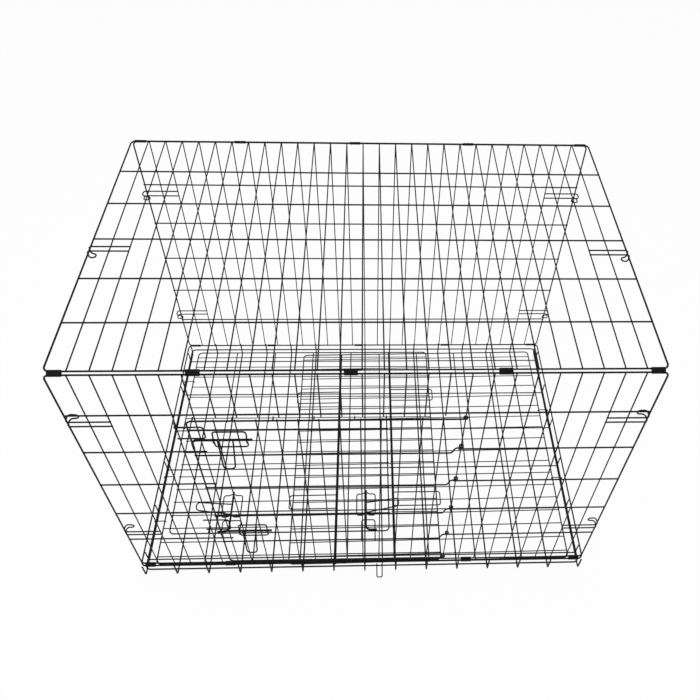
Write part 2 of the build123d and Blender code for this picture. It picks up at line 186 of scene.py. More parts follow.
# The keepers, each as (bottom, top, root, closed end)
FRONT_KEEPERS = ((562.0, 598.0, -349.0, -296.0), (206.0, 248.0, -355.0, -300.0))
END_KEEPERS = ((522.0, 556.0, 287.0, 230.0), (168.0, 214.0, 266.0, 227.0))

# The loose loop on the lower front wire, with its legs given as (y, z) from that wire
CARRY_NEAR = 29.5
CARRY_FAR = 42.4
CARRY_LEG = (-22.0, -18.0)
CARRY_PLAY = 0.4
CARRY_CURL_START = radians(215.0)
CARRY_CURL_SWEEP = 1.5 * pi

# How tightly each wire is bent
FRAME_BEND = 11.0
TIGHT_BEND = 3.0
LOOP_BEND = 6.0
ROD_BEND = 11.0
HANDLE_BEND = 9.0
FLOOR_BEND = 5.0
CARRY_BEND = 4.0

# Faces that meet at more than this angle keep a sharp edge
SHARP_ANGLE = radians(50.0)

# Panels, each as (origin, along, up, outwards)
X, Y, Z = Vector((1, 0, 0)), Vector((0, 1, 0)), Vector((0, 0, 1))
LEAN = Vector((-sin(END_TILT), 0, cos(END_TILT)))
FRONT = (Vector((0, -WALL_Y, 0)), X, Z, -Y)
BACK = (Vector((0, WALL_Y, 0)), -X, Z, Y)
TOP = (Vector((0, 0, TOP_Z)), X, Y, Z)
LEFT_END = (Vector((-HINGE_X, 0, LOWER_Z)), -Y, X, Z)
RIGHT_END = (Vector((HINGE_X, 0, LOWER_Z)), Y, LEAN.cross(Y), LEAN)
ROOM = (Vector((0, 0, 0)), X, Y, Z)


def column(number):
    """Where a column of the long walls stands."""
    return number * PITCH - HALF_WIDTH


def end_column(number):
    """Where an upright of the end panels stands."""
    return (number + 0.5) * PITCH - END_HALF


# Materials

BLACK = (0.0012, 0.0012, 0.0013, 1)
DUST = (0.016, 0.015, 0.014, 1)
BARE_STEEL = (0.32, 0.31, 0.3, 1)
COAT_SHINE = 0.1
PEEL_DEPTH = 0.12 * MM
DUST_SHARE = 0.35

# How fine each pattern of the coat is; a higher number is finer
PATCH_GRAIN = 35.0
PEEL_GRAIN = 900.0
SCUFF_GRAIN = 260.0
SPECK_GRAIN = 420.0
RUBBED_GRAIN = 18.0
DUST_GRAIN = 70.0


class Value:
    """A socket of a material's node tree that can be added, multiplied and so on."""

    def __init__(self, tree, socket):
        self.tree = tree
        self.socket = socket

    def math(self, operation, *others):
        return node(self.tree, "ShaderNodeMath", {"operation": operation}, self, *others)

    def __add__(self, other):
        return self.math("ADD", other)

    def __radd__(self, other):
        return self.math("ADD", other)

    def __sub__(self, other):
        return self.math("SUBTRACT", other)

    def __mul__(self, other):
        return self.math("MULTIPLY", other)

    def __rmul__(self, other):
        return self.math("MULTIPLY", other)


def node(tree, kind, settings=None, *values, out=0, **named):
    """Adds a node, with its settings first and then the values or links of its sockets."""
    made = tree.nodes.new(kind)
    for key, value in (settings or {}).items():
        setattr(made, key, value)
    pairs = list(enumerate(values)) + [(key.replace("_", " "), value) for key, value in named.items()]
    for key, value in pairs:
        if isinstance(value, Value):
            tree.links.new(value.socket, made.inputs[key])
        else:
            made.inputs[key].default_value = value
    return Value(tree, made.outputs[out])


def ramp(tree, factor, low, high):
    """0 below low and 1 above high, smooth between."""
    settings = {"interpolation_type": "SMOOTHSTEP"}
    return node(tree, "ShaderNodeMapRange", settings, factor, low, high, 0.0, 1.0)


def blend_colour(tree, factor, first, second):
    """One colour where the factor is 0 and another where it is 1."""
    made = tree.nodes.new("ShaderNodeMix")
    made.data_type = "RGBA"
    for key, value in (("Factor_Float", factor), ("A_Color", first), ("B_Color", second)):
        socket = next(s for s in made.inputs if s.identifier == key)
        if isinstance(value, Value):
            tree.links.new(value.socket, socket)
        else:
            socket.default_value = value
    result = next(s for s in made.outputs if s.identifier == "Result_Color")
    return Value(tree, result)


def coated_steel(name, thin, wear, roughness):
    """Black coat over steel: thinner in patches, orange peel, dust, and rubbed through in specks."""
    material = bpy.data.materials.new(name)
    material.use_nodes = True
    tree = material.node_tree
    tree.nodes.clear()
    place = node(tree, "ShaderNodeTexCoord", out="Object")

    def noise(scale, detail=3.0, stretch=None):
        where = place
        if stretch:
            where = node(tree, "ShaderNodeMapping", None, place, Scale=stretch)
        return node(tree, "ShaderNodeTexNoise", None, where, out="Fac", Scale=scale, Detail=detail)

    patches = ramp(tree, noise(PATCH_GRAIN), 0.35, 0.7)
    peel = noise(PEEL_GRAIN, 2.0)
    scuffs = noise(SCUFF_GRAIN, 4.0, (1.0, 1.0, 0.35))
    specks = ramp(tree, noise(SPECK_GRAIN, 5.0), 1.0 - wear, 1.04 - wear)
    rubbed = specks * ramp(tree, noise(RUBBED_GRAIN), 0.45, 0.62)
    dust = ramp(tree, noise(DUST_GRAIN, 6.0), 0.55, 0.8) * DUST_SHARE

    colour = blend_colour(tree, patches, BLACK, thin)
    colour = blend_colour(tree, dust, colour, DUST)
    colour = blend_colour(tree, rubbed, colour, BARE_STEEL)
    roughness = roughness + 0.16 * scuffs + 0.12 * patches + 0.2 * dust - 0.1 * rubbed
    height = peel * 0.5 + scuffs * 0.35 - rubbed * 0.6
    bump = node(tree, "ShaderNodeBump", None, Strength=0.35, Distance=PEEL_DEPTH, Height=height)
    shader = tree.nodes.new("ShaderNodeBsdfPrincipled")
    for key, value in (
        ("Base Color", colour),
        ("Roughness", roughness),
        ("Metallic", rubbed * 0.9),
        ("Normal", bump),
    ):
        tree.links.new(value.socket, shader.inputs[key])
    shader.inputs["Specular IOR Level"].default_value = COAT_SHINE
    output = tree.nodes.new("ShaderNodeOutputMaterial")
    tree.links.new(shader.outputs[0], output.inputs["Surface"])
    return material


# Each finish, as (name, colour where the coat is thin, wear, roughness)
FINISHES = {
    name: coated_steel(name, thin, wear, roughness)
    for name, thin, wear, roughness in (
        ("coated_wire", (0.003, 0.003, 0.0032, 1), 0.27, 0.36),
        ("coated_frame", (0.0025, 0.0025, 0.0027, 1), 0.26, 0.32),
        ("crimped_sleeve", (0.004, 0.004, 0.0042, 1), 0.31, 0.42),
        ("coated_rod", (0.0035, 0.0035, 0.0037, 1), 0.36, 0.3),
    )
}


# Trees that draw wires and repeat them


def new_tree(name, inputs):
    """A node tree for a modifier, with named inputs, and a function that adds its nodes."""
    tree = bpy.data.node_groups.new(name, "GeometryNodeTree")
    tree.interface.new_socket("Geometry", in_out="INPUT", socket_type="NodeSocketGeometry")
    for label, kind, start in inputs:
        socket = tree.interface.new_socket(label, in_out="INPUT", socket_type="NodeSocket" + kind)
        if start is not None:
            socket.default_value = start
    tree.interface.new_socket("Geometry", in_out="OUTPUT", socket_type="NodeSocketGeometry")
    source = tree.nodes.new("NodeGroupInput")

    def add(kind, links, settings=None):
        made = tree.nodes.new(kind)
        for key, value in (settings or {}).items():
            setattr(made, key, value)
        for key, value in links.items():
            if isinstance(value, str):
                tree.links.new(source.outputs[value], made.inputs[key])
            elif isinstance(value, bpy.types.Node):
                tree.links.new(value.outputs[0], made.inputs[key])
            else:
                made.inputs[key].default_value = value
        return made

    return tree, add


def finish_tree(tree, add, last):
    """Ends a tree with real meshes and their finish."""
    real = add("GeometryNodeRealizeInstances", {"Geometry": last})
    painted = add("GeometryNodeSetMaterial", {"Geometry": real, "Material": "Finish"})
    add("NodeGroupOutput", {"Geometry": painted})
    return tree


def bent_wire_tree():
    """Round wire along each path of edges, bent at its corners, and repeated at even steps."""
    tree, add = new_tree(
        "bent_wire",
        (
            ("Wire Radius", "Float", 0.0015),
            ("Bend Radius", "Float", 0.005),
            ("Bend Steps", "Int", 6),
            ("Sides", "Int", 12),
            ("Count", "Int", 1),
            ("Step", "Vector", None),
            ("Finish", "Material", None),
        ),
    )
    path = add("GeometryNodeMeshToCurve", {"Mesh": "Geometry"})
    bent = add(
        "GeometryNodeFilletCurve",
        {"Curve": path, "Radius": "Bend Radius", "Limit Radius": True, "Count": "Bend Steps"},
        {"mode": "POLY"},
    )
    section = add(
        "GeometryNodeCurvePrimitiveCircle",
        {"Resolution": "Sides", "Radius": "Wire Radius"},
        {"mode": "RADIUS"},
    )
    drawn = add("GeometryNodeCurveToMesh", {"Curve": bent, "Profile Curve": section, "Fill Caps": True})
    places = add("GeometryNodeMeshLine", {"Count": "Count", "Offset": "Step"}, {"mode": "OFFSET"})
    copies = add("GeometryNodeInstanceOnPoints", {"Points": places, "Instance": drawn})
    return finish_tree(tree, add, copies)


def copies_tree():
    """One shape at each point of the mesh."""
    tree, add = new_tree("copies", (("Shape", "Object", None), ("Finish", "Material", None)))
    shape = add("GeometryNodeObjectInfo", {"Object": "Shape"})
    copies = add("GeometryNodeInstanceOnPoints", {"Points": "Geometry"})
    tree.links.new(shape.outputs["Geometry"], copies.inputs["Instance"])
    return finish_tree(tree, add, copies)


BENT_WIRE = bent_wire_tree()
COPIES = copies_tree()


def run_tree(mesh, tree, values):
    """The plain mesh that a tree makes of a mesh, with the tree's inputs set by name."""
    carrier = bpy.data.objects.new("carrier", mesh)
    bpy.context.scene.collection.objects.link(carrier)
    modifier = carrier.modifiers.new("tree", "NODES")
    modifier.node_group = tree
    names = {item.name: item.identifier for item in tree.interface.items_tree if item.in_out == "INPUT"}
    for name, value in values.items():
        modifier[names[name]] = value
    carrier.update_tag()
    graph = bpy.context.evaluated_depsgraph_get()
    made = bpy.data.meshes.new_from_object(carrier.evaluated_get(graph))
    modifier.node_group = None
    carrier.modifiers.remove(modifier)
    bpy.data.objects.remove(carrier)
    bpy.data.meshes.remove(mesh)
    return made


def at(panel, point):
    """A point of a panel, in metres in the room."""
    origin, along, up, out = panel
    return (origin + along * point[0] + up * point[1] + out * point[2]) * MM


def path_mesh(panel, paths, closed):
    """Edges along each path."""
    points, edges = [], []
    for path in paths:
        first = len(points)
        points += [at(panel, point) for point in path]
        edges += [(number, number + 1) for number in range(first, len(points) - 1)]
        if closed:
            edges.append((len(points) - 1, first))
    mesh = bpy.data.meshes.new("paths")
    mesh.from_pydata(points, edges, [])
    return mesh


def wires(
    panel,
    paths,
    radius,
    bend=TIGHT_BEND,
    closed=False,
    count=1,
    step=(0, 0, 0),
    sides=12,
    steps=6,
    full=ROUND,
):
    """The mesh of some bent wires of one radius, with their repeats."""
    origin, along, up, out = panel
    jump = (along * step[0] + up * step[1] + out * step[2]) * MM
    return run_tree(
        path_mesh(panel, paths, closed),
        BENT_WIRE,
        {
            "Wire Radius": radius * full * MM,
            "Bend Radius": bend * MM,
            "Bend Steps": steps,
            "Sides": sides,
            "Count": count,
            "Step": tuple(jump),
        },
    )


def piece(name, body, slot, meshes):
    """Adds one named piece of the crate from some meshes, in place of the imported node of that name."""
    joined = bmesh.new()
    for mesh in meshes:
        joined.from_mesh(mesh)
        bpy.data.meshes.remove(mesh)
    bmesh.ops.recalc_face_normals(joined, faces=joined.faces)
    mesh = bpy.data.meshes.new(name)
    joined.to_mesh(mesh)
    joined.free()
    mesh.materials.clear()
    mesh.materials.append(FINISHES[slot])
    mesh.shade_smooth()
    mesh.set_sharp_from_angle(angle=SHARP_ANGLE)
    made = bpy.data.objects.new(name, mesh)
    bpy.context.scene.collection.objects.link(made)
    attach(made, body)
    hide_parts(name)


# Wires of a panel


def uprights(panel, first, count, low, high, level=UPRIGHT_LEVEL):
    """Straight wires up a panel, one pitch apart."""
    path = [(first, low, level), (first, high, level)]
    return wires(panel, [path], UPRIGHT_R, count=count, step=(PITCH, 0, 0))


def rows(panel, first, count, gap, start, end):
    """Straight wires across a panel at even heights."""
    path = [(start, first, ROW_LEVEL), (end, first, ROW_LEVEL)]
    return wires(panel, [path], ROW_R, count=count, step=(0, gap, 0))


def border(panel, half, low, high, level=0.0, radius=FRAME_R):
    """The wire round a panel, bent at its four corners."""
    corners = [(half, low, level), (half, high, level), (-half, high, level), (-half, low, level)]
    return wires(panel, [[(0, low, level)] + corners], radius, FRAME_BEND, closed=True)


def arc(radius, start, sweep, steps):
    """Points of an arc in the plane across an axis, as (sideways, outwards)."""
    turns = [start + sweep * number / steps for number in range(steps + 1)]
    return [(radius * cos(turn), radius * sin(turn)) for turn in turns]


def welds(panel, across, up, level=WELD_LEVEL, radius=WELD_R):
    """A bead of weld at each crossing of some uprights and rows."""
    points = bpy.data.meshes.new("crossings")
    points.from_pydata([at(panel, (x, y, level)) for x in across for y in up], [], [])
    bead = bmesh.new()
    bmesh.ops.create_icosphere(bead, subdivisions=2, radius=radius * MM)
    shape = bpy.data.meshes.new("bead")
    bead.to_mesh(shape)
    bead.free()
    return run_copies(points, shape)


def run_copies(points, shape):
    """The mesh of one shape at each of some points."""
    source = bpy.data.objects.new("shape", shape)
    bpy.context.scene.collection.objects.link(source)
    made = run_tree(points, COPIES, {"Shape": source})
    bpy.data.objects.remove(source)
    bpy.data.meshes.remove(shape)
    return made


# Small fittings


def lock_path(side, height, back):
    """A hairpin lock, with its return bent back behind it and pinched at its end."""
    low = height - LOCK_GAUGE / 2
    high = height + LOCK_GAUGE / 2
    root = side * LOCK_ROOT
    tip = side * (HALF_WIDTH + LOCK_OVERRUN)
    mouth = side * (HALF_WIDTH + LOCK_OVERRUN - back)
    deep = LOCK_LEVEL - LOCK_DEPTH
    return [
        (root, low, LOCK_LEVEL),
        (tip, low, LOCK_LEVEL),
        (tip, low, deep),
        (mouth, low + LOCK_PINCH, deep),
        (mouth, high - LOCK_PINCH, deep),
        (tip, high, deep),
        (tip, high, LOCK_LEVEL),
        (root, high, LOCK_LEVEL),
    ]


def keeper_path(low, high, root, end):
    """A flat U that a bolt shoots behind."""
    return [
        (root, low, LOCK_LEVEL),
        (end, low, LOCK_LEVEL),
        (end, high, LOCK_LEVEL),
        (root, high, LOCK_LEVEL),
    ]


def hook_path(place):
    """A hook curled round the hinge wire of an end panel."""
    reach = BASE_R + HOOK_PLAY + HOOK_R
    root = END_BOTTOM + FRAME_R + HOOK_R
    return [
        (place, root, -FRAME_R),
        (place, root, reach),
        (place, -reach, reach),
        (place, -reach, -reach),
        (place, HOOK_R, -reach),
    ]


def tab_path(side):
    """A finger loop at the top of an end panel."""
    foot = END_TOP - END_ROW_STEP
    tip = END_TOP + TAB_REACH
    near, far, outer = side * TAB_NEAR, side * TAB_FAR, -LOCK_LEVEL
    return [(near, foot, outer), (near, tip, outer), (far, tip, outer), (far, foot, outer)]


def knuckle_points(hinge, inward, height):
    """The end of a door wire, curled round the upright that the door swings on."""
    curl = arc(KNUCKLE_R, pi / 2, KNUCKLE_SWEEP, steps=18)
    return [(hinge + inward * x, height, UPRIGHT_LEVEL + z) for x, z in curl]


def door_frame_path(edge, hinge, inward, low, high):
    """A door's three frame wires in one bent wire, with an eye at each end."""
    lowest = knuckle_points(hinge, inward, low)
    highest = knuckle_points(hinge, inward, high)
    corners = [(edge, low, DOOR_LEVEL), (edge, high, DOOR_LEVEL)]
    return lowest[::-1] + corners + highest


def door_row_path(edge, hinge, inward, height):
    """A row of a door, stepped up beside the hinge and curled round its upright."""
    jog = hinge - inward * KNUCKLE_RISE
    lifted = height + KNUCKLE_RISE
    return [
        (edge - inward * FRAME_R, height, DOOR_ROW_LEVEL),
        (jog - inward * JOG_FOOT, height, DOOR_ROW_LEVEL),
        (jog + inward * JOG_HEAD, lifted, DOOR_ROW_LEVEL - JOG_DROP),
    ] + knuckle_points(hinge, inward, lifted)


def bracket_path(edge, inward, height):
    """A wire loop on a door, with a hump at each end for the rod to run under."""
    near = edge + inward * BRACKET_NEAR
    far = edge + inward * BRACKET_FAR
    path = []
    for place, turn in ((near, 1), (far, -1)):
        for offset, level in (
            (-BRACKET_HALF, BRACKET_LEVEL),
            (-HUMP_FOOT, BRACKET_LEVEL),
            (-HUMP_HEAD, HUMP_LEVEL),
            (HUMP_HEAD, HUMP_LEVEL),
            (HUMP_FOOT, BRACKET_LEVEL),
            (BRACKET_HALF, BRACKET_LEVEL),
        ):
            path.append((place, height + turn * offset, level))
    return path


def bolt_path(edge, inward, height, down):
    """A slide rod with its tip bent over."""
    tip = edge + inward * ROD_TIP
    return [
        (edge + inward * ROD_TAIL, height, ROD_LEVEL),
        (tip, height, ROD_LEVEL),
        (tip, height + down * TIP_DROP, ROD_LEVEL),
    ]


def handle_path(edge, inward, height, down, lean, long):
    """The U handle of a bolt, curled over the rod at both ends."""
    curl = ROD_R + HANDLE_R * ROUND + HANDLE_PLAY
    ways = ((down * cos(lean), sin(lean)), (-down * sin(lean), cos(lean)))

    def spot(place, reach, stand):
        up = reach * ways[0][0] + stand * ways[1][0]
        out = reach * ways[0][1] + stand * ways[1][1]
        return (edge + inward * place, height + up, ROD_LEVEL + out)

    over = arc(curl, HANDLE_CURL_START, HANDLE_CURL_SWEEP, steps=4)
    near = [spot(HANDLE_NEAR, reach, stand) for reach, stand in over]
    far = [spot(HANDLE_FAR, reach, stand) for reach, stand in over]
    foot = [
        spot(HANDLE_NEAR, HANDLE_NECK, 0),
        spot(HANDLE_NEAR + HANDLE_PINCH, long, 0),
        spot(HANDLE_FAR - HANDLE_PINCH, long, 0),
        spot(HANDLE_FAR, HANDLE_NECK, 0),
    ]
    return near + foot + far[::-1]


def sleeve(first, second, wire_r):
    """A crimped oval sleeve round two wires that run along the crate, given as (y, z)."""
    first, second = Vector(first), Vector(second)
    middle = (first + second) / 2
    way = (second - first).normalized()
    across = Vector((-way.y, way.x))
    half = (second - first).length / 2
    inner = wire_r * ROUND + SLEEVE_PLAY
    outer = inner + SLEEVE_WALL

    def oval(radius, waist):
        points = []
        for end, start in ((1, -pi / 2), (-1, pi / 2)):
            for along, aside in arc(radius, start, pi, steps=10):
                points.append(middle + way * (end * half + along) + across * aside)
        return [point + (middle - point).project(across) * waist for point in points]

    long = SLEEVE_LONG / 2
    rings = [
        (-long, inner, 0.0),
        (-long, inner + SLEEVE_LIP_WALL, 0.0),
        (-long + SLEEVE_LIP, outer, 0.0),
        (-long * CRIMP_START, outer, 0.0),
        (-long * CRIMP_END, outer, CRIMP_DEEP),
        (0.0, outer, CRIMP_SHALLOW),
    ]
    rings += [(-place, radius, waist) for place, radius, waist in rings[-2::-1]]
    shape = bmesh.new()
    loops = []
    for place, radius, waist in rings:
        loops.append([shape.verts.new((place * MM, p.x * MM, p.y * MM)) for p in oval(radius, waist)])
    loops.append(loops[0])
    for one, two in zip(loops, loops[1:]):
        total = len(one)
        for number in range(total):
            after = (number + 1) % total
            shape.faces.new((one[number], one[after], two[after], two[number]))
    mesh = bpy.data.meshes.new("sleeve")
    shape.to_mesh(mesh)
    shape.free()
    return mesh


def sleeves(places, first, second, wire_r):
    """A sleeve at each of some places along the crate."""
    points = bpy.data.meshes.new("places")
    points.from_pydata([(place * MM, 0, 0) for place in places], [], [])
    return run_copies(points, sleeve(first, second, wire_r))


# The crate


def make_base():
    """The tray that stands on the floor."""
    long_path = [
        (column(0), -UPTURN_Y, UPTURN_TOP),
        (column(0), -UPTURN_Y, BASE_R),
        (column(0), UPTURN_Y, BASE_R),
        (column(0), UPTURN_Y, UPTURN_TOP),
    ]
    long_wires = wires(ROOM, [long_path], BASE_R, FLOOR_BEND, count=LONG_COUNT, step=(2 * PITCH, 0, 0))
    piece("base_floor_long", "base", "coated_wire", [long_wires])

    first = -(CROSS_COUNT - 1) / 2 * CROSS_PITCH
    cross_path = [
        (-HALF_WIDTH, first, UPTURN_TOP),
        (-HALF_WIDTH, first, CROSS_Z),
        (HALF_WIDTH, first, CROSS_Z),
        (HALF_WIDTH, first, UPTURN_TOP),
    ]
    cross = wires(ROOM, [cross_path], ROW_R, FLOOR_BEND, count=CROSS_COUNT, step=(0, CROSS_PITCH, 0))
    spots = [column(2 * number) for number in range(LONG_COUNT)]
    heights = [first + number * CROSS_PITCH for number in range(CROSS_COUNT)]
    beads = welds(ROOM, spots, heights, 2 * BASE_R, FLOOR_WELD_R)
    piece("base_floor_cross", "base", "coated_wire", [cross, beads])

    rim = border(ROOM, RIM_X, -RIM_Y, RIM_Y, RIM_Z, BASE_R)
    piece("base_rim", "base", "coated_frame", [rim])
    lower = border(ROOM, HINGE_X, -RIM_Y, RIM_Y, LOWER_Z, BASE_R)
    piece("base_lower_wires", "base", "coated_frame", [lower])


def make_clips():
    """The crimped sleeves along the bottom and top edges."""
    front, back = (-WALL_Y, WALL_BOTTOM), (WALL_Y, WALL_BOTTOM)
    low = sleeves(BOTTOM_FRONT_SLEEVES, front, (-RIM_Y, RIM_Z), BASE_R)
    piece("clips_front_bottom", "base", "crimped_sleeve", [low])
    low = sleeves(OTHER_SLEEVES, back, (RIM_Y, RIM_Z), BASE_R)
    piece("clips_back_bottom", "base", "crimped_sleeve", [low])
    high = sleeves(OTHER_SLEEVES, (-WALL_Y, WALL_TOP), (-TOP_HALF, TOP_Z), FRAME_R)
    piece("clips_front_top", "top_panel", "crimped_sleeve", [high])
    high = sleeves(OTHER_SLEEVES, (WALL_Y, WALL_TOP), (TOP_HALF, TOP_Z), FRAME_R)
    piece("clips_back_top", "top_panel", "crimped_sleeve", [high])


# The long walls, and the doorway in the front between two of its columns
WALL_EDGE = HALF_WIDTH + FRAME_R
WALL_COLUMNS = [column(number) for number in range(COLUMNS + 1)]
WALL_ROWS = [WALL_BOTTOM + number * ROW_STEP for number in range(1, ROW_COUNT)]
WALL_LOCKS = [lock_path(side, height, LOCK_RETURN) for side in (-1, 1) for height in LOCK_HEIGHTS]
FRONT_LATCH = 6
FRONT_HINGE = 19
FRONT_EDGE = column(FRONT_LATCH) - DOOR_OVERLAP
FRONT_LOW = WALL_BOTTOM + FRONT_DOOR_LIFT
FRONT_HIGH = WALL_ROWS[-1] - DOOR_TOP_GAP

# The end panels, and the doorway in the left one between two of its uprights
PANEL_EDGE = END_HALF + FRAME_R
PANEL_COLUMNS = [end_column(number) for number in range(END_COLUMNS)]
END_ROWS = [END_BOTTOM + number * END_ROW_STEP for number in range(1, ROW_COUNT)]
END_LATCH = 15
END_HINGE = 6
END_EDGE = end_column(END_LATCH) + DOOR_OVERLAP
END_LOW = END_BOTTOM + END_DOOR_LIFT
END_HIGH = END_ROWS[-1] - DOOR_TOP_GAP


def panel_frame(name, body, panel, half, low, high):
    """The frame wire of a panel."""
    piece(name + "_frame", body, "coated_frame", [border(panel, half, low, high)])


def panel_locks(name, body, panel, paths):
    """The hairpin locks of a panel."""
    piece(name + "_locks", body, "coated_wire", [wires(panel, paths, LOCK_R, LOOP_BEND)])


def make_front():
    """The front panel, with the opening of its door."""
    latch, hinge = column(FRONT_LATCH), column(FRONT_HINGE)
    open_count = FRONT_HINGE - FRONT_LATCH - 1
    door_row = WALL_ROWS[-1]
    panel_frame("front", "front_panel", FRONT, HALF_WIDTH, WALL_BOTTOM, WALL_TOP)
    near = uprights(FRONT, column(1), FRONT_LATCH, WALL_BOTTOM, WALL_TOP)
    far = uprights(FRONT, hinge, COLUMNS - FRONT_HINGE, WALL_BOTTOM, WALL_TOP)
    over = uprights(FRONT, column(FRONT_LATCH + 1), open_count, door_row - DOORWAY_OVERLAP, WALL_TOP)
    piece("front_uprights", "front_panel", "coated_wire", [near, far, over])
    cut = (FRONT, WALL_ROWS[0], ROW_COUNT - 2, ROW_STEP)
    full = rows(FRONT, door_row, 1, 0, -WALL_EDGE, WALL_EDGE)
    left = rows(*cut, -WALL_EDGE, latch + DOORWAY_OVERLAP)
    right = rows(*cut, hinge - DOORWAY_OVERLAP, WALL_EDGE)
    beside = WALL_COLUMNS[: FRONT_LATCH + 1] + WALL_COLUMNS[FRONT_HINGE:]
    beads = [welds(FRONT, beside, WALL_ROWS[:-1]), welds(FRONT, WALL_COLUMNS, [door_row])]
    piece("front_rows", "front_panel", "coated_wire", [full, left, right] + beads)
    keepers = [keeper_path(*keeper) for keeper in FRONT_KEEPERS]
    piece("front_keepers", "front_panel", "coated_wire", [wires(FRONT, keepers, LOCK_R, LOOP_BEND)])
    panel_locks("front", "front_panel", FRONT, WALL_LOCKS)


def make_top():
    """The top panel."""
    panel_frame("top", "top_panel", TOP, HALF_WIDTH, -TOP_HALF, TOP_HALF)
    cross = uprights(TOP, column(1), COLUMNS - 1, -TOP_HALF, TOP_HALF)
    piece("top_wires", "top_panel", "coated_wire", [cross])
    bars = rows(TOP, TOP_ROWS[0], len(TOP_ROWS), TOP_ROW_STEP, -WALL_EDGE, WALL_EDGE)
    piece("top_rows", "top_panel", "coated_wire", [bars, welds(TOP, WALL_COLUMNS, TOP_ROWS)])
    locks = [lock_path(side, height, TOP_LOCK_RETURN) for side, height in TOP_LOCKS]
    panel_locks("top", "top_panel", TOP, locks)


def make_back():
    """The back panel."""
    panel_frame("back", "back_panel", BACK, HALF_WIDTH, WALL_BOTTOM, WALL_TOP)
    stand = uprights(BACK, column(1), COLUMNS - 1, WALL_BOTTOM, WALL_TOP)
    piece("back_uprights", "back_panel", "coated_wire", [stand])
    bars = rows(BACK, WALL_ROWS[0], len(WALL_ROWS), ROW_STEP, -WALL_EDGE, WALL_EDGE)
    piece("back_rows", "back_panel", "coated_wire", [bars, welds(BACK, WALL_COLUMNS, WALL_ROWS)])
    panel_locks("back", "back_panel", BACK, WALL_LOCKS)


def end_fittings(body, panel, places):
    """The finger tabs of an end panel, and its hooks round the lower wire."""
    tabs = wires(panel, [tab_path(side) for side in (-1, 1)], LOCK_R, LOOP_BEND)
    piece(body + "_tabs", body, "coated_wire", [tabs])
    hooks = wires(panel, [hook_path(place) for place in places], HOOK_R, TIGHT_BEND, full=TRUE_SIZE)
    piece(body + "_hooks", body, "coated_wire", [hooks])


def make_left_end():
    """The end panel on the left, with the opening of its door."""
    latch, hinge = end_column(END_LATCH), end_column(END_HINGE)
    open_count = END_LATCH - END_HINGE - 1
    door_row = END_ROWS[-1]
    panel_frame("left_end", "left_end", LEFT_END, END_HALF, END_BOTTOM, END_TOP)
    near = uprights(LEFT_END, end_column(0), END_HINGE + 1, END_BOTTOM, END_TOP)
    far = uprights(LEFT_END, latch, END_COLUMNS - END_LATCH, END_BOTTOM, END_TOP)
    over = uprights(LEFT_END, end_column(END_HINGE + 1), open_count, door_row - DOORWAY_OVERLAP, END_TOP)
    piece("left_end_uprights", "left_end", "coated_wire", [near, far, over])
    cut = (LEFT_END, END_ROWS[0], ROW_COUNT - 2, END_ROW_STEP)
    full = rows(LEFT_END, door_row, 1, 0, -PANEL_EDGE, PANEL_EDGE)
    left = rows(*cut, -PANEL_EDGE, hinge + DOORWAY_OVERLAP)
    right = rows(*cut, latch - DOORWAY_OVERLAP, PANEL_EDGE)
    beside = PANEL_COLUMNS[: END_HINGE + 1] + PANEL_COLUMNS[END_LATCH:]
    beads = [welds(LEFT_END, beside, END_ROWS[:-1]), welds(LEFT_END, PANEL_COLUMNS, [door_row])]
    piece("left_end_rows", "left_end", "coated_wire", [full, left, right] + beads)
    end_fittings("left_end", LEFT_END, LEFT_HOOKS)
    keepers = [keeper_path(*keeper) for keeper in END_KEEPERS]
    piece("left_end_keepers", "left_end", "coated_wire", [wires(LEFT_END, keepers, LOCK_R, LOOP_BEND)])


def make_right_end():
    """The end panel on the right."""
    panel_frame("right_end", "right_end", RIGHT_END, END_HALF, END_BOTTOM, END_TOP)
    stand = uprights(RIGHT_END, end_column(0), END_COLUMNS, END_BOTTOM, END_TOP)
    piece("right_end_uprights", "right_end", "coated_wire", [stand])
    bars = rows(RIGHT_END, END_ROWS[0], len(END_ROWS), END_ROW_STEP, -PANEL_EDGE, PANEL_EDGE)
    piece("right_end_rows", "right_end", "coated_wire", [bars, welds(RIGHT_END, PANEL_COLUMNS, END_ROWS)])
    end_fittings("right_end", RIGHT_END, RIGHT_HOOKS)


def make_door(name, panel, edge, hinge, inward, low, high, heights, places, bolts):
    """A door, with its brackets."""
    path = door_frame_path(edge, hinge, inward, low, high)
    piece(name + "_frame", name, "coated_frame", [wires(panel, [path], FRAME_R, FRAME_BEND)])
    span = (low - UPRIGHT_STUB, high + UPRIGHT_STUB)
    stand = uprights(panel, places[0], len(places), *span, DOOR_UPRIGHT_LEVEL)
    piece(name + "_uprights", name, "coated_wire", [stand])
    paths = [door_row_path(edge, hinge, inward, height) for height in heights]
    bars = wires(panel, paths, ROW_R, LOOP_BEND)
    piece(name + "_rows", name, "coated_wire", [bars, welds(panel, places, heights, DOOR_WELD_LEVEL)])
    loops = [bracket_path(edge, inward, height) for height in bolts]
    piece(name + "_brackets", name, "coated_wire", [wires(panel, loops, LOCK_R, LOOP_BEND, closed=True)])


def make_doors():
    """Both doors."""
    places = [column(n) - DOOR_SHIFT for n in range(FRONT_LATCH + 1, FRONT_HINGE)]
    span = (FRONT_EDGE, column(FRONT_HINGE), 1, FRONT_LOW, FRONT_HIGH)
    make_door("front_door", FRONT, *span, WALL_ROWS[:-1], places, FRONT_BOLTS)
    places = [end_column(n) + DOOR_SHIFT for n in range(END_HINGE + 1, END_LATCH)]
    span = (END_EDGE, end_column(END_HINGE), -1, END_LOW, END_HIGH)
    make_door("end_door", LEFT_END, *span, END_ROWS[:-1], places, END_BOLTS)


